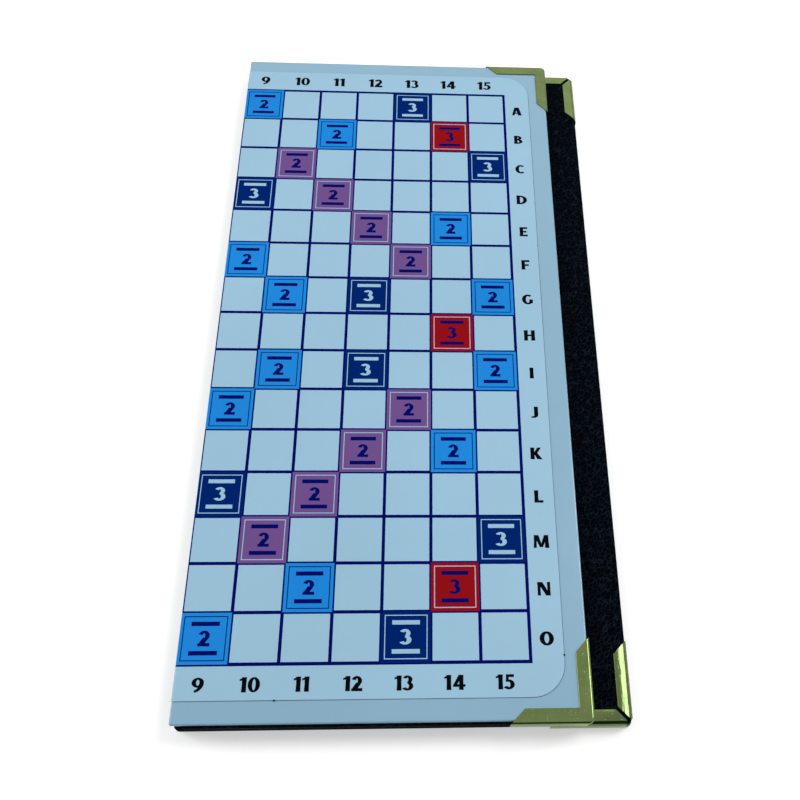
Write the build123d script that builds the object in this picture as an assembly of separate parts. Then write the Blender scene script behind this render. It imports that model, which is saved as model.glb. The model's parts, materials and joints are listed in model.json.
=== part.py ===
"""Folding magnetic travel game board, shown folded back to back.

Two flat panels carry one printed grid between them. Each is a core board in a leatherette cover,
with a steel sheet, a white face plate and a printed sheet on its playing side, and a folded metal
protector on each outer corner. A strip of leatherette across the backs is the hinge.

+X runs along the columns, away from the fold, +Y runs along the rows, and +Z is up. The origin is
on the ground at the centre of the whole board's box. All sizes are in millimetres.
"""
from build123d import *
import os
from math import sqrt

# Printed grid
CELL_WIDTH = 15.0            # one column, across the fold
CELL_LENGTH = 15.2           # one row, along the fold
ROWS = 15
COLUMNS = {"upper": 7, "lower": 8}

# Printed sheet: a thin vinyl sheet, cut off along the fold
SHEET_THICKNESS = 0.2
SHEET_MARGIN = 10.2          # from the grid's outer lines to the sheet's edge
SHEET_CORNER_RADIUS = 10.0
SHEET_SHIFT = 0.25           # the sheet lies this far off the plate's middle, towards +Y
SHEET_WRAP_ANGLE = 50.0      # how far it turns down over the plate's rim at the fold, in degrees

# Panel's border beyond the printed sheet
BORDER_OUTER = {"upper": 7.6, "lower": 5.05}
BORDER_END = 6.7             # before the plate's and the sheet's shifts
PANEL_CORNER_RADIUS = 1.6    # in plan, away from the fold

# White face plate
PLATE_THICKNESS = 1.0
PLATE_RIM_RADIUS = 0.5       # round-over of its upper edges
PLATE_SETBACK = 0.4          # behind the cover's edge on the three outer sides
PLATE_SHIFT = 0.3            # the plate lies this far off the cover's middle, towards +Y
PLATE_FOLD_CORNER_RADIUS = 0.6
BUTT_CLEARANCE = 0.1         # between the two plates when the board lies open

# Core board and its leatherette cover
CORE_THICKNESS = 2.4
COVER_THICKNESS = 0.5
COVER_EDGE_RADIUS = 1.2      # where it rounds the core's back edges
COVER_TURNED_RADIUS = 0.4    # where it turns in under the plate
COVER_FOLD_SETBACK = {"upper": 2.85, "lower": 0.3}  # behind the fold line
TURN_IN = 10.0               # width of leatherette turned in over the core's front
TURN_IN_MITRE = 0.2          # slit between two turn-ins at a corner

# Steel sheet, let in between the turn-ins
STEEL_CLEARANCE = 0.25

# Hinge strip, glued to both backs; each leaf is one half of it
STRIP_THICKNESS = 0.4
STRIP_HALF_WIDTH = 12.0
STRIP_END_SETBACK = 4.0      # short of each end of the panels
FOLD_CLEARANCE = 0.25        # between the folded strip's two halves
PANEL_SHIFT = {"upper": -0.22, "lower": 0.22}  # the panels lie a little out of line on it, along Y

# Metal corner protector, folded from one sheet
METAL = 0.4
LEG_LENGTH = 25.0
FLANGE_WIDTH = 4.5           # over the playing side and over the leatherette side
FACE_BEND_RADIUS = 0.4       # inside of the bend at the playing side
FLANGE_CROWN = 0.1           # rise of the leatherette side's flange over its flat width
FLANGE_EDGE_RADIUS = 0.2     # round-over of the flanges' free edges
LIP_HEIGHT = 0.8             # skirt that runs round the corner under the face
MITRE_GAP = 1.1              # between the two back flanges

# Derived levels, counted from a panel's leatherette back with its playing side up
core_level = COVER_THICKNESS
steel_level = core_level + CORE_THICKNESS
plate_level = steel_level + COVER_THICKNESS
face_level = plate_level + PLATE_THICKNESS

sheet_length = ROWS * CELL_LENGTH + 2 * SHEET_MARGIN
panel_length = sheet_length + 2 * BORDER_END
plate_edge = BUTT_CLEARANCE / 2
metal_corner_radius = PANEL_CORNER_RADIUS + METAL
back_gap = 2 * STRIP_THICKNESS + FOLD_CLEARANCE


def sheet_width(side):
    return COLUMNS[side] * CELL_WIDTH + SHEET_MARGIN


def panel_width(side):
    return sheet_width(side) + BORDER_OUTER[side]


def outline(inner, outer, length, outer_radius, inner_radius=0.0):
    """Plan from x = inner to x = outer, centred on the X axis, with its corners rounded."""
    plan = Pos((inner + outer) / 2, 0) * Rectangle(outer - inner, length)
    plan = fillet(plan.vertices().group_by(Axis.X)[-1], outer_radius)
    if inner_radius:
        plan = fillet(plan.vertices().group_by(Axis.X)[0], inner_radius)
    return plan


def slab(plan, low, high):
    return extrude(Pos(0, 0, low) * plan, high - low)


def top_edges(solid):
    return solid.faces().sort_by(Axis.Z)[-1].edges()


def bottom_edges(solid):
    return solid.faces().sort_by(Axis.Z)[0].edges()


# One panel, playing side up, with the fold line along x = 0 and its back at z = 0

def printed_sheet(side):
    """Flat over the plate, with its cut edge turned down over the rim at the fold."""
    rim_centre = plate_edge + PLATE_RIM_RADIUS
    flat = slab(
        outline(rim_centre, sheet_width(side), sheet_length, SHEET_CORNER_RADIUS),
        face_level,
        face_level + SHEET_THICKNESS,
    )
    centre = (rim_centre, face_level - PLATE_RIM_RADIUS)
    under = CenterArc(centre, PLATE_RIM_RADIUS, 90, SHEET_WRAP_ANGLE)
    over = CenterArc(centre, PLATE_RIM_RADIUS + SHEET_THICKNESS, 90, SHEET_WRAP_ANGLE)
    section = make_face([under, Line(under @ 1, over @ 1), over, Line(over @ 0, under @ 0)])
    wrap = extrude(Plane.XZ * section, sheet_length / 2, both=True)
    return Pos(0, PLATE_SHIFT + SHEET_SHIFT, 0) * (flat + wrap)


def face_plate(side):
    plan = outline(
        plate_edge,
        panel_width(side) - PLATE_SETBACK,
        panel_length - 2 * PLATE_SETBACK,
        PANEL_CORNER_RADIUS - PLATE_SETBACK,
        PLATE_FOLD_CORNER_RADIUS,
    )
    plate = slab(plan, plate_level, face_level)
    return Pos(0, PLATE_SHIFT, 0) * fillet(top_edges(plate), PLATE_RIM_RADIUS)


def wrapped_body(side, inset, low, high):
    """The covered core, or anything that lies the given inset inside its surface."""
    plan = outline(
        COVER_FOLD_SETBACK[side] + inset,
        panel_width(side) - inset,
        panel_length - 2 * inset,
        PANEL_CORNER_RADIUS - inset,
        PANEL_CORNER_RADIUS - inset,
    )
    body = slab(plan, low, high)
    return fillet(bottom_edges(body), COVER_EDGE_RADIUS - inset)


def core_board(side):
    return wrapped_body(side, COVER_THICKNESS, core_level, steel_level)


def window(side, clearance=0.0):
    """Plan of the opening that the turn-ins leave on the core's front."""
    inset = TURN_IN + clearance
    inner = COVER_FOLD_SETBACK[side] + inset
    outer = panel_width(side) - inset
    length = panel_length - 2 * inset
    return Pos((inner + outer) / 2, 0) * Rectangle(outer - inner, length)


def steel_sheet(side):
    return slab(window(side, STEEL_CLEARANCE), steel_level, plate_level)


def leather_cover(side):
    """Wraps the core's back and edges and turns in over its front, mitred at the corners."""
    body = wrapped_body(side, 0, 0, plate_level)
    body = fillet(top_edges(body), COVER_TURNED_RADIUS)
    body -= core_board(side)
    body -= slab(window(side), steel_level, plate_level)
    slit_length = (TURN_IN + PANEL_CORNER_RADIUS) * sqrt(2)
    slit = Box(slit_length, TURN_IN_MITRE, COVER_THICKNESS)
    slit_level = (steel_level + plate_level) / 2
    end = (panel_length - TURN_IN) / 2
    fold_side = COVER_FOLD_SETBACK[side] + TURN_IN / 2
    outer_side = panel_width(side) - TURN_IN / 2
    for x, y, turn in (
        (fold_side, -end, 45),
        (fold_side, end, -45),
        (outer_side, -end, -45),
        (outer_side, end, 45),
    ):
        body -= Pos(x, y, slit_level) * Rot(0, 0, turn) * slit
    return body


def hinge_leaf():
    """Half of the leatherette hinge strip, from the fold line onto the back."""
    plan = Pos((plate_edge + STRIP_HALF_WIDTH) / 2, 0) * Rectangle(
        STRIP_HALF_WIDTH - plate_edge, panel_length - 2 * STRIP_END_SETBACK
    )
    return slab(plan, -STRIP_THICKNESS, 0)


def corner_section():
    """Folded strip across one leg: face, wall and back flange, with the wall's outside on x = 0."""
    outside = Pos(-FLANGE_WIDTH / 2, face_level / 2) * Rectangle(FLANGE_WIDTH, face_level + 2 * METAL)
    inside = Pos(-METAL - FLANGE_WIDTH / 2, face_level / 2) * Rectangle(FLANGE_WIDTH, face_level)
    rounded = []
    for shape, extra in ((outside, METAL), (inside, 0)):
        wall_ends = shape.vertices().group_by(Axis.X)[-1].sort_by(Axis.Y)
        shape = fillet(wall_ends[0], COVER_EDGE_RADIUS + extra)
        wall_top = shape.vertices().group_by(Axis.Y)[-1].sort_by(Axis.X)[-1]
        rounded.append(fillet(wall_top, FACE_BEND_RADIUS + extra))
    bend_end = (-COVER_EDGE_RADIUS - METAL, -METAL)
    middle = ((bend_end[0] - FLANGE_WIDTH) / 2, -METAL - FLANGE_CROWN)
    free_edge = (-FLANGE_WIDTH, -METAL)
    crown = make_face([ThreePointArc(bend_end, middle, free_edge), Line(free_edge, bend_end)])
    section = rounded[0] + crown - rounded[1]
    free_edges = section.vertices().group_by(Axis.X)[0].sort_by(Axis.Y)
    return fillet([free_edges[0], free_edges[-1]], FLANGE_EDGE_RADIUS)


def corner_leg():
    """Leg along +Y from the corner at the origin, its wall's outside on x = 0."""
    start = metal_corner_radius
    leg = extrude(Plane.XZ * corner_section(), -(LEG_LENGTH - start))
    leg = Pos(0, start, 0) * leg
    reach = 2 * FLANGE_WIDTH
    end_cut = Polygon((0, LEG_LENGTH), (-reach, LEG_LENGTH + reach), (-reach, LEG_LENGTH - reach), align=None)
    leg -= slab(end_cut, -METAL - FLANGE_CROWN, face_level + METAL)
    offset = MITRE_GAP / sqrt(2)
    mitre = Polygon((reach, offset - reach), (-reach, offset + reach), (-reach, offset - reach), align=None)
    return leg - slab(mitre, -METAL - FLANGE_CROWN, face_level / 2)


def corner_cap():
    """Face and skirt that run round the corner between the two legs."""
    radius = metal_corner_radius
    reach = Pos(-radius / 2, face_level + (METAL - LIP_HEIGHT) / 2) * Rectangle(radius, METAL + LIP_HEIGHT)
    section = corner_section() & reach
    return revolve(Plane.XZ.offset(-radius) * section, Axis((-radius, radius, 0), (0, 0, -1)), 90)


def corner_protector():
    leg = corner_leg()
    diagonal = Plane((0, 0, 0), z_dir=(1, 1, 0))
    return leg + mirror(leg, about=diagonal) + corner_cap()


def panel(side):
    near = Pos(panel_width(side) + METAL, -panel_length / 2 - METAL, 0) * corner_protector()
    return {
        "core_board": core_board(side),
        "steel_sheet": steel_sheet(side),
        "leather_cover": leather_cover(side),
        "face_plate": face_plate(side),
        "printed_sheet": printed_sheet(side),
        "hinge_leaf": hinge_leaf(),
        "corner_near": near,
        "corner_far": mirror(near, about=Plane.XZ),
    }


# The lower panel lies face down on its protectors, and the upper one lies back to back with it.
fold_x = -(panel_width("lower") + METAL + plate_edge) / 2
hinge_level = METAL + face_level + back_gap / 2
back_offset = hinge_level + back_gap / 2

os.makedirs("parts", exist_ok=True)
for side in COLUMNS:
    for name, piece in panel(side).items():
        shift = 0 if name == "hinge_leaf" else PANEL_SHIFT[side]
        piece = Pos(fold_x, shift, back_offset) * piece
        if side == "lower":
            piece = mirror(piece, about=Plane.XY.offset(hinge_level))
        export_step(piece, f"parts/{side}_{name}.step")

print("hinge axis at x", round(fold_x, 4), "z", round(hinge_level, 4))
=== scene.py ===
"""Looks of the folding travel game board: materials, the print, and the bent hinge strip.

Everything is in metres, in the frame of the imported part. The print is set out on the board as it
lies open: u counts from the fold line towards the last column, and v runs along the frame's Y.
"""
import json
from math import cos, pi, radians, sin

import bmesh
import bpy
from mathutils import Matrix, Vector


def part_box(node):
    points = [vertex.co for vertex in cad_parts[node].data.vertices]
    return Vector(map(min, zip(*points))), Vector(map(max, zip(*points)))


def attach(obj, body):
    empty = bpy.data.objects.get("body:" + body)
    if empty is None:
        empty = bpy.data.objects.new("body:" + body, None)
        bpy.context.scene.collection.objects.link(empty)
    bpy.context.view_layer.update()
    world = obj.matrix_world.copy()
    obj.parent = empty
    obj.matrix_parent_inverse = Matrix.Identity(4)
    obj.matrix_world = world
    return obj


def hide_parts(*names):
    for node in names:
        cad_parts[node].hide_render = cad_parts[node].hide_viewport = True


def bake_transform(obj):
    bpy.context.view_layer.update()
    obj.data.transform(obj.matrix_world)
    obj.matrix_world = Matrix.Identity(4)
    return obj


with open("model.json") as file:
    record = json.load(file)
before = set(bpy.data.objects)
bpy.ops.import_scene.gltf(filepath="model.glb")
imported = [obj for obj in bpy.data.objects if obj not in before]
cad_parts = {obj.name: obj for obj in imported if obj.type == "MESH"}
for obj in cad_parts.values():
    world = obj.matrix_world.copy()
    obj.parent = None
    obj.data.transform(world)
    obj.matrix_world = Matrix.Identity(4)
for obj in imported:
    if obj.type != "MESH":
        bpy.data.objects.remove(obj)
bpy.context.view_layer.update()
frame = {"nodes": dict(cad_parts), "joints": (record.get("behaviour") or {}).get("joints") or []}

MM = 0.001
hinge = Vector(frame["joints"][0]["pos_m"])  # fold_hinge, the only joint
sheet_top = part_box("upper_printed_sheet")[1].z

# Sizes that the print shares with the part
CELL_WIDTH = 15.0 * MM
CELL_LENGTH = 15.2 * MM
ROWS = 15
COLUMNS = {"upper": range(9, 16), "lower": range(1, 9)}
SHIFT = {"upper": 0.33 * MM, "lower": 0.77 * MM}  # of each sheet's middle, along v
SHEET_MARGIN = 10.2 * MM
SHEET_CORNER_RADIUS = 10.0 * MM
SHEET_THICKNESS = 0.2 * MM
RIM_CENTRE = 0.55 * MM       # from the fold to the axis that a sheet's cut edge turns down round
RIM_RADIUS = 0.7 * MM        # of the sheet's upper side there


def add(name, data):
    """New object in the scene."""
    made = bpy.data.objects.new(name, data)
    bpy.context.scene.collection.objects.link(made)
    return made


# --- nodes ---

def shader(name):
    """New material, with its node tree and its Principled node."""
    made = bpy.data.materials.new(name)
    made.use_nodes = True
    tree = made.node_tree
    return made, tree, tree.nodes["Principled BSDF"]


def feed(tree, socket, value):
    """Link another node's output to a socket, or set the socket to a plain value."""
    if isinstance(value, bpy.types.NodeSocket):
        tree.links.new(value, socket)
    else:
        socket.default_value = value


def dress(tree, bsdf, values):
    """Feed the Principled node's inputs, by name."""
    for name, value in values.items():
        feed(tree, bsdf.inputs[name], value)


def node(tree, kind, settings=(), **inputs):
    """New node. Its inputs go by name, or by place as i0, i1 and so on."""
    made = tree.nodes.new("ShaderNode" + kind)
    for key, value in dict(settings).items():
        setattr(made, key, value)
    for key, value in inputs.items():
        feed(tree, made.inputs[int(key[1:]) if key[1:].isdigit() else key], value)
    return made


def linear(red, green, blue):
    """Linear colour of an sRGB triple in 0 to 255."""
    def one(c):
        c /= 255
        return c / 12.92 if c <= 0.04045 else ((c + 0.055) / 1.055) ** 2.4
    return (one(red), one(green), one(blue), 1.0)


def shade(colour, factor):
    return tuple(c * factor for c in colour[:3]) + (1.0,)


def object_coords(tree):
    return tree.nodes.new("ShaderNodeTexCoord").outputs["Object"]


def place(tree, scale=(1, 1, 1)):
    """Object coordinates, scaled along each axis."""
    return node(tree, "Mapping", i0=object_coords(tree), i3=scale).outputs[0]


def noise(tree, vector, scale, detail, rough=0.55):
    made = node(tree, "TexNoise", Vector=vector, Scale=scale, Detail=detail, Roughness=rough)
    return made.outputs["Fac"]


def cell_edge(tree, vector, scale):
    """Distance to the nearest border between random cells."""
    settings = {"feature": "DISTANCE_TO_EDGE"}
    return node(tree, "TexVoronoi", settings, Vector=vector, Scale=scale).outputs[0]


def spread(tree, value, taken, given):
    """Value moved from one range to another, and held inside it."""
    low_in, high_in = taken
    low, high = given
    return node(tree, "MapRange", i0=value, i1=low_in, i2=high_in, i3=low, i4=high).outputs[0]


def mix(tree, factor, a, b):
    """Colour a where the factor is 0, and b where it is 1."""
    return node(tree, "Mix", {"data_type": "RGBA"}, i0=factor, i6=a, i7=b).outputs[2]


def math(tree, operation, a, b):
    return node(tree, "Math", {"operation": operation}, i0=a, i1=b).outputs[0]


def dots(tree, scale, size, channel, picked, strength):
    """Dots in a few random cells, which one channel of each cell's random colour picks."""
    cells = node(tree, "TexVoronoi", Vector=place(tree), Scale=scale)
    dot = spread(tree, cells.outputs["Distance"], size, (1, 0))
    pick = node(tree, "SeparateColor", i0=cells.outputs["Color"]).outputs[channel]
    return math(tree, "MULTIPLY", dot, spread(tree, pick, picked, (0, strength)))


def bump(tree, height, strength, distance, **below):
    """Normal of a bumped surface, over the one given as Normal, if any."""
    made = node(tree, "Bump", Height=height, Strength=strength, Distance=distance, **below)
    return made.outputs[0]


# --- materials; the scales of noise and cells are counts per metre ---

def plastic(name, colour, gloss, shine=0.25, specks=True):
    """Smooth vinyl or plastic: slow tint changes, faint handling marks, a few dark specks."""
    made, tree, bsdf = shader(name)
    at = place(tree)
    cloud = noise(tree, at, scale=14.0, detail=2.0)
    fine = noise(tree, at, scale=220.0, detail=4.0)
    smear = noise(tree, place(tree, (1.0, 2.6, 1.0)), scale=55.0, detail=5.0, rough=0.6)
    tint = mix(tree, spread(tree, cloud, (0.3, 0.7), (0, 1)),
               shade(colour, 0.97), shade(colour, 1.03))
    tint = mix(tree, spread(tree, fine, (0.35, 0.75), (0, 0.1)), tint, shade(colour, 0.88))
    if specks:
        few = dots(tree, scale=150.0, size=(0.02, 0.05), channel=0, picked=(0.985, 0.99),
                   strength=0.5)
        tint = mix(tree, few, tint, shade(colour, 0.3))
    dress(tree, bsdf, {
        "Base Color": tint,
        "Specular IOR Level": shine,
        "Roughness": spread(tree, smear, (0.2, 0.8), (gloss - 0.02, gloss + 0.05)),
        "Normal": bump(tree, noise(tree, at, scale=900.0, detail=2.0), 0.15, 0.02 * MM),
    })
    return made


LEATHER_DARK = (0.0001, 0.0005, 0.0013, 1)
LEATHER_PALE = (0.0002, 0.0009, 0.0021, 1)
# Paler colour along the creases: rubbed wear, and a painted sheen that stands in for the grain's
# highlights
LEATHER_RUBBED_SHEEN = (0.0108, 0.0175, 0.0275, 1)
GRAIN_SLANT = radians(-42)
GRAIN_STRETCH = (0.60, 1.05, 0.7)
GRAIN_WANDER = 2.0 * MM


def leatherette(name):
    """Near-black pressed grain: slanted pebbles between fine creases, paler along the creases where
    rubbed, with a painted sheen of the grain's highlights there.
    """
    made, tree, bsdf = shader(name)
    coords = object_coords(tree)
    slanted = node(tree, "Mapping", {"vector_type": "TEXTURE"}, i0=coords,
                   i2=(0, 0, GRAIN_SLANT), i3=GRAIN_STRETCH).outputs[0]
    wander = node(tree, "TexNoise", Vector=slanted, Scale=420.0, Detail=4.0).outputs["Color"]
    bent = node(tree, "VectorMath", {"operation": "MULTIPLY_ADD"}, i0=wander,
                i1=(GRAIN_WANDER,) * 3, i2=slanted).outputs[0]
    edge = cell_edge(tree, bent, scale=520.0)
    crease = spread(tree, edge, (0.0, 0.11), (1, 0))
    fine = spread(tree, cell_edge(tree, bent, scale=1150.0), (0.0, 0.14), (1, 0))
    worn = noise(tree, coords, scale=40.0, detail=4.0)
    patchy = noise(tree, slanted, scale=300.0, detail=3.0)
    base = mix(tree, spread(tree, worn, (0.35, 0.7), (0, 1)), LEATHER_DARK, LEATHER_PALE)
    lines = math(tree, "MAXIMUM", crease, math(tree, "MULTIPLY", fine, 0.15))
    # Pale crease lines: rubbed wear and a painted sheen of the grain's highlights, as the specular
    # level is kept near nothing
    rubbed_and_sheen = math(tree, "MULTIPLY", lines, spread(tree, patchy, (0.35, 0.65), (0.30, 1)))
    swell = math(tree, "POWER", spread(tree, edge, (0, 0.3), (0, 1)), 0.5)
    pebbles = math(tree, "SUBTRACT", swell, math(tree, "MULTIPLY", fine, 0.25))
    dress(tree, bsdf, {
        "Base Color": mix(tree, rubbed_and_sheen, base, LEATHER_RUBBED_SHEEN),
        "Specular IOR Level": 0.004,
        "Roughness": spread(tree, worn, (0.3, 0.7), (0.50, 0.66)),
        "Normal": bump(tree, pebbles, 0.7, 0.12 * MM),
    })
    return made


ROLLED_DARK = (0.102, 0.152, 0.034)
ROLLED_PALE = (0.132, 0.186, 0.050)
ROLLED_STREAK = (0.162, 0.212, 0.067)
PIT = (0.60, 0.66, 0.34, 1)
GRAZING_TINT = (0.42, 0.54, 0.14, 1)
WAVY_FROM_X = (0.0622, 0.0634)   # where the waves start and where they are full


def brass(name, reflection_tone, wave):
    """Lacquered brass-plated sheet: rolled streaks, fine scratches and pale pits.

    Legs at the board's right end, where only the lower panel lies, are wavy by wave millimetres.
    """
    made, tree, bsdf = shader(name)
    along_x = noise(tree, place(tree, (0.12, 3.2, 3.2)), scale=900.0, detail=4.0, rough=0.65)
    along_y = noise(tree, place(tree, (3.2, 0.12, 3.2)), scale=900.0, detail=4.0, rough=0.65)
    cloud = noise(tree, place(tree), scale=160.0, detail=3.0)
    # The tone given lightens or darkens this piece's brass, a painted reflection of its
    # surroundings
    tint = mix(tree, spread(tree, cloud, (0.35, 0.65), (0, 1)),
               shade(ROLLED_DARK, reflection_tone), shade(ROLLED_PALE, reflection_tone))
    tint = mix(tree, spread(tree, along_y, (0.55, 0.75), (0, 0.5)), tint,
               shade(ROLLED_STREAK, reflection_tone))
    pits = dots(tree, scale=1900.0, size=(0.10, 0.28), channel=1, picked=(0.92, 0.95),
                strength=0.7)
    scratches = math(tree, "ADD", along_x, along_y)
    waves = noise(tree, place(tree, (2.4, 0.5, 1.0)), scale=420.0, detail=2.0, rough=0.5)
    x = node(tree, "SeparateXYZ", i0=place(tree)).outputs[0]
    waves = math(tree, "MULTIPLY", waves, spread(tree, x, WAVY_FROM_X, (0, 1)))
    dress(tree, bsdf, {
        "Base Color": mix(tree, pits, tint, PIT),
        "Metallic": 1.0,
        "Specular Tint": GRAZING_TINT,
        "Coat Weight": 0.7,
        "Coat Roughness": 0.06,
        "Roughness": spread(tree, along_x, (0.35, 0.75), (0.09, 0.17)),
        "Normal": bump(tree, waves, 1.0, wave * MM,
                       Normal=bump(tree, scratches, 0.12, 0.02 * MM)),
    })
    return made


def steel(name):
    made, tree, bsdf = shader(name)
    brushed = noise(tree, place(tree, (0.05, 4.0, 1.0)), scale=700.0, detail=4.0)
    dress(tree, bsdf, {
        "Base Color": mix(tree, brushed, (0.40, 0.41, 0.43, 1), (0.58, 0.59, 0.60, 1)),
        "Metallic": 1.0,
        "Roughness": spread(tree, brushed, (0.3, 0.7), (0.28, 0.45)),
        "Normal": bump(tree, brushed, 0.1, 0.02 * MM),
    })
    return made


def fibreboard(name):
    made, tree, bsdf = shader(name)
    fibres = noise(tree, place(tree, (1, 0.3, 1)), scale=1800.0, detail=5.0, rough=0.7)
    dress(tree, bsdf, {
        "Base Color": mix(tree, fibres, (0.24, 0.17, 0.11, 1), (0.42, 0.33, 0.23, 1)),
        "Roughness": 0.85,
        "Normal": bump(tree, fibres, 0.3, 0.05 * MM),
    })
    return made


def paint(node_name, made):
    mesh = frame["nodes"][node_name].data
    mesh.materials.clear()
    mesh.materials.append(made)


VINYL = (0.304, 0.506, 0.655, 1)
PLATE = (0.224, 0.402, 0.536, 1)
leather = leatherette("leatherette")
finishes = {
    "core_board": fibreboard("fibreboard"),
    "steel_sheet": steel("brushed_steel"),
    "leather_cover": leather,
    "face_plate": plastic("plate_plastic", PLATE, gloss=0.17, shine=0.5),
    "printed_sheet": plastic("vinyl", VINYL, gloss=0.30),
    "hinge_leaf": leather,
}
for side in COLUMNS:
    for part, made in finishes.items():
        paint(f"{side}_{part}", made)

# Tone of each protector, a painted reflection that makes lighter and darker copies of one brass for
# the surroundings each piece reflects, and how wavy its right leg is, in millimetres
PROTECTORS = {
    "upper_corner_near": (0.92, 0.0),
    "lower_corner_near": (0.68, 0.08),
    "upper_corner_far": (0.79, 0.0),
    "lower_corner_far": (0.97, 0.03),
}
for piece, (reflection_tone, wave) in PROTECTORS.items():
    paint(piece, brass("brass_" + piece, reflection_tone, wave))


# --- the print ---

INKS = {
    "navy": linear(0, 11, 96),
    "light_blue": linear(32, 132, 214),
    "mauve": linear(109, 78, 136),
    "red": linear(143, 14, 22),
    "black": linear(5, 8, 12),
    "pale": VINYL,
    "deep_navy": linear(0, 34, 104),
    # Dark line along the foot of the sheet's edge: dirt and painted shade of the step
    "dirt_and_shade": linear(92, 116, 134),
}
ink_names = list(INKS)
ink_materials = [plastic("ink_" + name, colour, gloss=0.40, shine=0.008, specks=False)
                 for name, colour in INKS.items()]

# Films of ink, and how high each coat's upper side lies over the printed sheet
FIRST_COAT = 0.012 * MM
COLUMN_LINES = 0.014 * MM    # between columns, just over the lines between rows
SECOND_COAT = 0.022 * MM
THIRD_COAT = 0.032 * MM
STROKE_STEP = 0.0012 * MM    # between the strokes of one glyph
INK_DEPTH = 0.001 * MM
WELD = 0.0001 * MM           # points of one film that are nearer than this are one point
FOLD_EDGE = 0.10 * MM        # the ink ends this far short of the fold
RIM_STEPS = 8                # strips of a film where it rolls down at the fold

# Grid, with its numbers and letters
LINE = 1.04 * MM
MIDDLE_ROW = 7               # counted from 0
MIDDLE_COLUMN = 8            # counted from 1, just before the fold
FOLD_COLUMN = 8.5
NUMBER_HEIGHT = 4.3 * MM
NUMBER_WIDENING = 1.12
NUMBER_SHIFT = 0.4 * MM      # towards the first column
NUMBER_OFFSETS = {-1: 5.8 * MM, 1: 5.3 * MM}  # past the last row, and past the first
LETTER_HEIGHT = 4.25 * MM
LETTER_WIDENING = 1.2
LETTER_SHIFT = 0.85 * MM     # towards the last row
LETTER_OFFSET = 5.2 * MM
GLYPH_GAP = 0.07             # of the glyphs' height, before they are widened

# Bonus squares, as distances from the middle square; each stands for its mirror images too
BONUS = {
    "red": ((6, 6), (0, 6)),
    "mauve": ((2, 5), (3, 4)),
    "deep_navy": ((5, 7), (1, 4)),
    "light_blue": ((1, 7), (3, 6), (1, 2)),
}
MARKS = {
    "red": ("3", "navy"),
    "mauve": ("2", "navy"),
    "deep_navy": ("3", "pale"),
    "light_blue": ("2", "navy"),
}
SQUARE_SETBACK = 0.002 * MM  # keeps squares that meet at a corner apart
FRAME_INSET = 1.0 * MM
FRAME_WIDTH = 0.28 * MM
MARK_HEIGHT = 4.6 * MM
MARK_WIDENING = 1.15
BAR_OFFSET = 4.3 * MM
BAR_HALF_LENGTH = 4.2 * MM
BAR_HALF_WIDTH = 0.65 * MM

# Dark line along the foot of the sheet's edge, dirt and painted shade of the step, and dark specks
# of dirt
DARK_EDGE_WIDTH = 0.17 * MM
CORNER_STEPS = 12
SPECK_SIDES = 8
NEAR_SPECK = (29.5 * MM, 0.1 * MM, 0.30 * MM)    # u, how far outside the sheet, size
CORNER_SPECK = (12.0 * MM, 0.30 * MM)            # from the sheet's near end, size
SMALL_SPECKS = (0.12, 0.31, 0.47, 0.55, 0.74)    # from mid edge, as parts of half its length
SMALL_SPECK_SIZE = 0.16 * MM


def on_board(u, v, lift):
    """Point over the open board's sheets, which roll down over the rims at the fold."""
    distance = abs(u)
    side = 1 if u >= 0 else -1
    if distance >= RIM_CENTRE:
        return Vector((hinge.x + u, v, sheet_top + lift))
    angle = (RIM_CENTRE - distance) / RIM_RADIUS
    across = RIM_CENTRE - (RIM_RADIUS + lift) * sin(angle)
    height = sheet_top - RIM_RADIUS + (RIM_RADIUS + lift) * cos(angle)
    return Vector((hinge.x + side * across, v, height))


def folded(point):
    """Where a point of the open board's lower panel lies when the board is folded."""
    return Vector((2 * hinge.x - point.x, point.y, 2 * hinge.z - point.z))


# A film is a list of outlines that share edges, with its lift over the sheet and its ink.

def patch(films, u0, u1, v0, v1, lift, ink):
    """Rectangle, cut into strips where it rolls down at the fold."""
    inner, outer = sorted((abs(u0), abs(u1)))
    inner = max(inner, FOLD_EDGE)
    side = 1 if u0 + u1 > 0 else -1
    cuts = [k * RIM_CENTRE / RIM_STEPS for k in range(1, RIM_STEPS + 1)]
    steps = [inner] + [cut for cut in cuts if inner < cut < outer] + [outer]
    strips = [(side * a, side * b) for a, b in zip(steps, steps[1:])]
    films.append(([[(a, v0), (b, v0), (b, v1), (a, v1)] for a, b in strips], lift, ink))


def frame_lines(films, u0, u1, v0, v1, width, lift, ink):
    """Four lines round a rectangle, mitred at its corners."""
    outer = [(u0, v0), (u1, v0), (u1, v1), (u0, v1)]
    inner = [(u0 + width, v0 + width), (u1 - width, v0 + width),
             (u1 - width, v1 - width), (u0 + width, v1 - width)]
    sides = [[outer[k - 1], outer[k], inner[k], inner[k - 1]] for k in range(4)]
    films.append((sides, lift, ink))


# Strokes of the glyphs, each a list of outlines. A glyph is one unit high.

BOWL_STEP = 12               # degrees
FEWEST_BOWL_STEPS = 4


def upright(x0, y0, x1, y1, w0, w1=None, waist=0.9):
    """Stroke with level ends, flared from its middle."""
    w1 = w0 if w1 is None else w1
    x, y, w = (x0 + x1) / 2, (y0 + y1) / 2, waist * (w0 + w1) / 2
    return [[(x0 - w0 / 2, y0), (x0 + w0 / 2, y0), (x + w / 2, y),
             (x1 + w1 / 2, y1), (x1 - w1 / 2, y1), (x - w / 2, y)]]


def level(x0, y0, x1, y1, w0, w1):
    """Stroke with upright ends."""
    return [[(x0, y0 - w0 / 2), (x1, y1 - w1 / 2), (x1, y1 + w1 / 2), (x0, y0 + w0 / 2)]]


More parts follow.
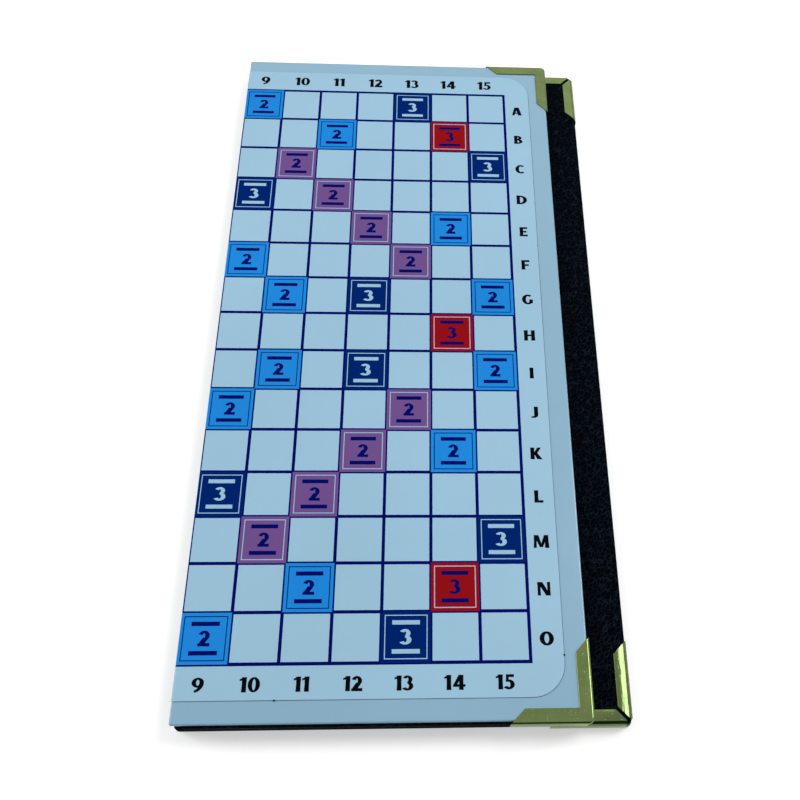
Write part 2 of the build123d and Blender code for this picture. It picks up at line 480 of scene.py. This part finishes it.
def bowl(x, y, rx, ry, tx, ty, start=0, end=360):
    """Part of a ring that is tx thick at its sides and ty at its top and bottom."""
    steps = max(FEWEST_BOWL_STEPS, round(abs(end - start) / BOWL_STEP))
    points = []
    for k in range(steps + 1):
        a = radians(start + (end - start) * k / steps)
        points.append(((x + rx * cos(a), y + ry * sin(a)),
                       (x + (rx - tx) * cos(a), y + (ry - ty) * sin(a))))
    return [[p[0], q[0], q[1], p[1]] for p, q in zip(points, points[1:])]


STEM = upright(0.14, 0, 0.14, 1, 0.28)
SIX = [bowl(0.37, 0.33, 0.37, 0.33, 0.27, 0.14), bowl(0.64, 0.34, 0.64, 0.66, 0.26, 0.15, 180, 100)]
HORN = bowl(0.42, 0.5, 0.42, 0.5, 0.28, 0.16, 48, 312)

# Width and strokes of each glyph
GLYPHS = {
    "0": (0.74, [bowl(0.37, 0.5, 0.37, 0.5, 0.27, 0.14)]),
    "1": (0.44, [upright(0.29, 0, 0.29, 1, 0.30), level(0.0, 0.80, 0.28, 0.91, 0.13, 0.18)]),
    "2": (0.68, [bowl(0.32, 0.68, 0.32, 0.32, 0.26, 0.16, 165, -38),
                 upright(0.17, 0.1, 0.45, 0.56, 0.34, 0.34, 1),
                 level(0, 0.09, 0.67, 0.10, 0.18, 0.22)]),
    "3": (0.66, [bowl(0.28, 0.73, 0.31, 0.27, 0.25, 0.15, 155, -90),
                 bowl(0.28, 0.30, 0.37, 0.30, 0.27, 0.15, 90, -150)]),
    "4": (0.80, [upright(0.54, 0, 0.54, 1, 0.29), level(0.03, 0.29, 0.80, 0.29, 0.17, 0.17),
                 upright(0.13, 0.26, 0.49, 1, 0.24, 0.22, 1)]),
    "5": (0.66, [level(0.12, 0.91, 0.62, 0.91, 0.18, 0.2), upright(0.19, 0.5, 0.21, 0.96, 0.18),
                 bowl(0.28, 0.33, 0.37, 0.33, 0.27, 0.15, 120, -150)]),
    "6": (0.74, SIX),
    "7": (0.64, [level(0, 0.90, 0.62, 0.90, 0.22, 0.2), upright(0.21, 0, 0.51, 0.94, 0.3, 0.22)]),
    "8": (0.72, [bowl(0.36, 0.73, 0.31, 0.27, 0.23, 0.13),
                 bowl(0.36, 0.29, 0.36, 0.29, 0.26, 0.14)]),
    "9": (0.74, [[[(0.74 - x, 1 - y) for x, y in face] for face in stroke] for stroke in SIX]),
    "A": (0.80, [upright(0.10, 0, 0.36, 1, 0.2, 0.26, 1), upright(0.65, 0, 0.43, 1, 0.3, 0.28, 1),
                 level(0.2, 0.28, 0.6, 0.28, 0.15, 0.15)]),
    "B": (0.68, [STEM, bowl(0.22, 0.73, 0.39, 0.27, 0.25, 0.15, 90, -90),
                 bowl(0.22, 0.29, 0.45, 0.29, 0.26, 0.15, 90, -90)]),
    "C": (0.72, [HORN]),
    "D": (0.80, [STEM, bowl(0.24, 0.5, 0.56, 0.5, 0.28, 0.15, 90, -90)]),
    "E": (0.60, [STEM, level(0.2, 0.91, 0.58, 0.91, 0.18, 0.21),
                 level(0.2, 0.5, 0.52, 0.5, 0.16, 0.18), level(0.2, 0.09, 0.60, 0.09, 0.18, 0.21)]),
    "F": (0.60, [STEM, level(0.2, 0.91, 0.60, 0.91, 0.18, 0.21),
                 level(0.2, 0.48, 0.54, 0.48, 0.16, 0.19)]),
    "G": (0.78, [HORN, upright(0.65, 0.12, 0.65, 0.5, 0.26, 0.28)]),
    "H": (0.78, [STEM, upright(0.64, 0, 0.64, 1, 0.28), level(0.2, 0.51, 0.6, 0.51, 0.16, 0.16)]),
    "I": (0.28, [STEM]),
    "J": (0.58, [upright(0.44, 0.26, 0.44, 1, 0.28, 0.28, 0.95),
                 bowl(0.25, 0.28, 0.33, 0.28, 0.27, 0.16, 0, -125)]),
    "K": (0.78, [STEM, upright(0.28, 0.42, 0.6, 1, 0.24, 0.24, 1),
                 upright(0.62, 0, 0.32, 0.56, 0.34, 0.26, 1)]),
    "L": (0.58, [STEM, level(0.2, 0.09, 0.58, 0.09, 0.18, 0.21)]),
    "M": (0.98, [upright(0.09, 0, 0.14, 1, 0.19, 0.2), upright(0.47, 0.06, 0.19, 1, 0.18, 0.28, 1),
                 upright(0.49, 0.06, 0.79, 1, 0.18, 0.22, 1),
                 upright(0.85, 0, 0.82, 1, 0.28, 0.25)]),
    "N": (0.80, [upright(0.10, 0, 0.10, 1, 0.2), upright(0.66, 0, 0.16, 1, 0.28, 0.3, 1),
                 upright(0.70, 0, 0.70, 1, 0.2)]),
    "O": (0.86, [bowl(0.43, 0.5, 0.43, 0.5, 0.29, 0.16)]),
}


def write(films, text, u, v, tall, wide, lift, ink):
    """Text centred on a point. Each stroke lies a hair above the one before it."""
    total = sum(GLYPHS[c][0] for c in text) + GLYPH_GAP * (len(text) - 1)
    x = -total / 2
    for c in text:
        width, strokes = GLYPHS[c]
        for k, stroke in enumerate(strokes):
            outlines = [[(u + (x + px) * tall * wide, v + (py - 0.5) * tall) for px, py in face]
                        for face in stroke]
            films.append((outlines, lift + k * STROKE_STEP, ink))
        x += width + GLYPH_GAP


def bonus_square(films, u, v, ink):
    """Coloured square with a thin frame, and a number between two bars."""
    number, mark_ink = MARKS[ink]
    half_u, half_v = CELL_WIDTH / 2 - SQUARE_SETBACK, CELL_LENGTH / 2 - SQUARE_SETBACK
    patch(films, u - half_u, u + half_u, v - half_v, v + half_v, SECOND_COAT, ink)
    frame_lines(films, u - half_u + FRAME_INSET, u + half_u - FRAME_INSET,
                v - half_v + FRAME_INSET, v + half_v - FRAME_INSET,
                FRAME_WIDTH, THIRD_COAT, "pale" if ink != "light_blue" else "navy")
    write(films, number, u, v, MARK_HEIGHT, MARK_WIDENING, THIRD_COAT, mark_ink)
    for step in (-1, 1):
        middle = v + step * BAR_OFFSET
        patch(films, u - BAR_HALF_LENGTH, u + BAR_HALF_LENGTH,
              middle - BAR_HALF_WIDTH, middle + BAR_HALF_WIDTH, THIRD_COAT, mark_ink)


def sheet_edge(sign, reach, middle, half, outside):
    """Points along the sheet's outer edge, from the fold round to the fold, moved outwards."""
    radius = SHEET_CORNER_RADIUS
    points = [(sign * RIM_CENTRE, middle - half - outside)]
    for centre_v, start in ((middle - half + radius, -90), (middle + half - radius, 0)):
        for k in range(CORNER_STEPS + 1):
            a = radians(start + 90 * k / CORNER_STEPS)
            points.append((sign * (reach - radius + (radius + outside) * cos(a)),
                           centre_v + (radius + outside) * sin(a)))
    return points + [(sign * RIM_CENTRE, middle + half + outside)]


def soiled_edge(films, sign, reach, middle, half):
    """Dark line along the foot of the sheet's cut edge, on the plate: dirt there and painted shade
    of the step. Dark specks of dirt, too.
    """
    inner = sheet_edge(sign, reach, middle, half, 0.0)
    outer = sheet_edge(sign, reach, middle, half, DARK_EDGE_WIDTH)
    quads = [[inner[k], outer[k], outer[k + 1], inner[k + 1]] for k in range(len(inner) - 1)]
    films.append((quads, FIRST_COAT - SHEET_THICKNESS, "dirt_and_shade"))
    near_u, near_out, near_size = NEAR_SPECK
    corner_from_end, corner_size = CORNER_SPECK
    specks = [(near_u, middle - half - near_out, near_size),
              (reach, middle - half + corner_from_end, corner_size)]
    specks += [(reach, middle + part * half, SMALL_SPECK_SIZE) for part in SMALL_SPECKS]
    for u, v, size in specks:
        turns = [k * 2 * pi / SPECK_SIDES for k in range(SPECK_SIDES)]
        ring = [(sign * u + size * cos(turn), v + size * sin(turn)) for turn in turns]
        films.append(([ring], THIRD_COAT, "black"))


def bonus_cells(columns):
    """Column, row and ink of each bonus square in the given columns."""
    for ink, places in BONUS.items():
        for a, b in places:
            for across, along in {(a, b), (b, a)}:
                for column in columns:
                    if abs(column - MIDDLE_COLUMN) == across:
                        for row in sorted({MIDDLE_ROW - along, MIDDLE_ROW + along}):
                            yield column, row, ink


def print_films(side):
    """All films of ink of one panel."""
    films = []
    columns = COLUMNS[side]
    sign = 1 if side == "upper" else -1
    outer = len(columns) * CELL_WIDTH
    grid_half = ROWS * CELL_LENGTH / 2
    middle = SHIFT[side]
    low, high = middle - grid_half - LINE / 2, middle + grid_half + LINE / 2
    for k in range(ROWS + 1):
        v = middle - grid_half + k * CELL_LENGTH
        a, b = sorted((0.0, sign * (outer + LINE / 2)))
        patch(films, a, b, v - LINE / 2, v + LINE / 2, FIRST_COAT, "navy")
    for k in range(len(columns) + 1):
        u = sign * k * CELL_WIDTH
        a, b = (u - LINE / 2, u + LINE / 2) if k else sorted((0.0, sign * LINE / 2))
        patch(films, a, b, low, high, COLUMN_LINES, "navy")
    for column in columns:
        u = (column - FOLD_COLUMN) * CELL_WIDTH - NUMBER_SHIFT
        for end, offset in NUMBER_OFFSETS.items():
            v = middle + end * (grid_half + offset)
            write(films, str(column), u, v, NUMBER_HEIGHT, NUMBER_WIDENING, FIRST_COAT, "black")
    for row in range(ROWS):
        v = middle + (MIDDLE_ROW - row) * CELL_LENGTH - LETTER_SHIFT
        write(films, chr(ord("A") + row), sign * (outer + LETTER_OFFSET), v,
              LETTER_HEIGHT, LETTER_WIDENING, FIRST_COAT, "black")
    for column, row, ink in bonus_cells(columns):
        bonus_square(films, (column - FOLD_COLUMN) * CELL_WIDTH,
                     middle + (MIDDLE_ROW - row) * CELL_LENGTH, ink)
    soiled_edge(films, sign, outer + SHEET_MARGIN, middle, grid_half + SHEET_MARGIN)
    return films


def signed_area(outline):
    """Twice the outline's area, positive where it runs anticlockwise."""
    return sum(a[0] * b[1] - b[0] * a[1] for a, b in zip(outline, outline[1:] + outline[:1]))


def print_piece(side):
    """The whole print of one panel, each film of ink closed by an underside and walls."""
    vertices, polygons, inks = [], [], []
    for outlines, lift, ink in print_films(side):
        welded, edges = {}, []
        for outline in outlines:
            ring = []
            for u, v in outline:
                key = (round(u / WELD), round(v / WELD))
                if key not in welded:
                    welded[key] = len(vertices)
                    for height in (lift, lift - INK_DEPTH):
                        point = on_board(u, v, height)
                        vertices.append(point if side == "upper" else folded(point))
                if welded[key] not in ring:
                    ring.append(welded[key])
            if len(ring) < 3:
                continue
            if signed_area(outline) < 0:
                ring.reverse()
            polygons += [ring, [k + 1 for k in reversed(ring)]]
            edges += list(zip(ring, ring[1:] + ring[:1]))
        shared = set(edges)
        polygons += [(a, a + 1, b + 1, b) for a, b in edges if (b, a) not in shared]
        inks += [ink_names.index(ink)] * (len(polygons) - len(inks))
    mesh = bpy.data.meshes.new(side + "_print")
    mesh.from_pydata(vertices, [], polygons)
    for made in ink_materials:
        mesh.materials.append(made)
    mesh.polygons.foreach_set("material_index", inks)
    mesh.update()
    piece = add(side + "_print", mesh)
    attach(piece, side + "_panel")


for side in COLUMNS:
    print_piece(side)


# --- the hinge strip: one strip glued to both backs, bent round the hinge axis ---

BEND_STEPS = 12
STRIP_ROWS = 60              # along the fold


def strip_profile(reach, outer_radius, inner_radius):
    """Closed outline across the strip, and the count of its points on one side."""
    middle = (outer_radius + inner_radius) / 2
    bend = [radians(90 + k * 180 / BEND_STEPS) for k in range(BEND_STEPS + 1)]
    outline = []
    for radius in (outer_radius, inner_radius):
        line = [(reach, radius), (reach / 2, radius)]
        line += [(middle + radius * cos(a), radius * sin(a)) for a in bend]
        line += [(reach / 2, -radius), (reach, -radius)]
        outline.append(line)
    return outline[0] + outline[1][::-1], len(outline[0])


def hinge_strip():
    low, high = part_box("upper_hinge_leaf")
    inner_radius = low.z - hinge.z
    profile, half = strip_profile(high.x - hinge.x, high.z - hinge.z, inner_radius)
    count = len(profile)
    made = bmesh.new()
    rings = []
    for k in range(STRIP_ROWS + 1):
        y = low.y + (high.y - low.y) * k / STRIP_ROWS
        rings.append([made.verts.new((hinge.x + x, y, hinge.z + z)) for x, z in profile])
    for ring, after in zip(rings, rings[1:]):
        for k in range(count):
            made.faces.new((ring[k], ring[(k + 1) % count], after[(k + 1) % count], after[k]))
    for ring in (rings[0], rings[-1]):
        for k in range(half - 1):
            made.faces.new((ring[k], ring[k + 1], ring[count - 2 - k], ring[count - 1 - k]))
    bmesh.ops.recalc_face_normals(made, faces=made.faces)
    mesh = bpy.data.meshes.new("hinge_strip")
    made.to_mesh(mesh)
    made.free()
    for face in mesh.polygons:
        face.use_smooth = abs(face.normal.y) < 0.5  # all but the two ends
    mesh.materials.append(leather)
    strip = add("hinge_strip", mesh)
    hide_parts("upper_hinge_leaf", "lower_hinge_leaf")
    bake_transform(strip)


hinge_strip()


# --- studio ---

WORLD_FILL = 0.38            # for the rays that don't see the backdrop, which is 1
DARK_SIDE_AZIMUTH = -84      # of a dark place that only reflections find, in degrees
DARK_SIDE_ELEVATION = 34
DARK_SIDE_RIM = (36, 28)     # angles from its middle where it starts and where it is full
DARK_SIDE_DEPTH = 0.93
FLOOR_HALF = 6.0
FLOOR_LEVEL = -0.05 * MM
FLOOR_GLOW = ((0.5, 1.8), (0.40, 0.75))  # distances from the board, and the strengths there

# Azimuth, elevation, distance, width and height, radiance
LAMPS = {
    "right_softbox": (23, 60, 1.15, (0.42, 0.42), 7.6),
    "low_right_softbox": (18, 28, 1.15, (0.22, 0.60), 6.4),
    "left_softbox": (169, 32, 1.15, (0.50, 1.00), 4.6),
    "back_softbox": (84, 38, 1.60, (1.30, 1.30), 0.45),
}


def towards(azimuth, elevation):
    """Unit vector, from angles in degrees."""
    a, e = radians(azimuth), radians(elevation)
    return Vector((cos(a) * cos(e), sin(a) * cos(e), sin(e)))


def seen(tree):
    """1 for the rays that see the white backdrop: camera, glossy and transmission rays."""
    path = tree.nodes.new("ShaderNodeLightPath")
    both = math(tree, "MAXIMUM", path.outputs["Is Camera Ray"], path.outputs["Is Glossy Ray"])
    return math(tree, "MAXIMUM", both, path.outputs["Is Transmission Ray"])


def studio_world():
    """White all round, with an even fill. Reflections find a dark side of the room, too."""
    world = bpy.data.worlds.new("studio")
    bpy.context.scene.world = world
    world.use_nodes = True
    tree = world.node_tree
    back = tree.nodes["Background"]
    direction = tree.nodes.new("ShaderNodeTexCoord").outputs["Generated"]
    dark_side = towards(DARK_SIDE_AZIMUTH, DARK_SIDE_ELEVATION)
    near = node(tree, "VectorMath", {"operation": "DOT_PRODUCT"}, i0=direction, i1=dark_side)
    rim = [cos(radians(angle)) for angle in DARK_SIDE_RIM]
    depth = spread(tree, near.outputs["Value"], rim, (0, DARK_SIDE_DEPTH))
    glossy = tree.nodes.new("ShaderNodeLightPath").outputs["Is Glossy Ray"]
    dark = math(tree, "MULTIPLY", depth, glossy)
    light = spread(tree, seen(tree), (0, 1), (WORLD_FILL, 1.0))
    feed(tree, back.inputs["Color"], (1, 1, 1, 1))
    feed(tree, back.inputs["Strength"], math(tree, "SUBTRACT", light, dark))


def studio_floor():
    """Pale floor that keeps the board's shadow. Rays that see it find it lit up to near white."""
    made, tree, bsdf = shader("floor")
    away = node(tree, "VectorMath", {"operation": "LENGTH"}, i0=place(tree)).outputs["Value"]
    dress(tree, bsdf, {
        "Base Color": (0.8, 0.8, 0.8, 1),
        "Roughness": 0.9,
        "Specular IOR Level": 0.0,
        "Emission Color": (1, 1, 1, 1),
        "Emission Strength": math(tree, "MULTIPLY", seen(tree), spread(tree, away, *FLOOR_GLOW)),
    })
    corners = [(x * FLOOR_HALF, y * FLOOR_HALF, FLOOR_LEVEL)
               for x, y in ((-1, -1), (1, -1), (1, 1), (-1, 1))]
    mesh = bpy.data.meshes.new("floor")
    mesh.from_pydata(corners, [], [(0, 1, 2, 3)])
    mesh.materials.append(made)
    floor = add("floor", mesh)


def lamp(name, azimuth, elevation, away, size, radiance):
    """Softbox that faces the board. Its power follows from its radiance."""
    data = bpy.data.lights.new(name, "AREA")
    data.shape = "RECTANGLE"
    data.size, data.size_y = size
    data.energy = radiance * pi * size[0] * size[1]
    thing = add(name, data)
    thing.location = towards(azimuth, elevation) * away
    thing.rotation_euler = thing.location.to_track_quat("Z", "Y").to_euler()
    thing.visible_camera = False


def camera():
    data = bpy.data.cameras.new("camera")
    data.sensor_width = 36
    data.lens = 46.538
    data.shift_x = -0.09658
    data.shift_y = -0.10996
    data.clip_start = 0.01
    thing = add("camera", data)
    thing.location = (0.00051, -0.18554, 0.32831)
    thing.rotation_euler = (radians(31.4926), radians(-3.3933), radians(-1.3280))
    bpy.context.scene.camera = thing


studio_world()
studio_floor()
for name, values in LAMPS.items():
    lamp(name, *values)
camera()
bpy.context.scene.view_settings.view_transform = "Standard"
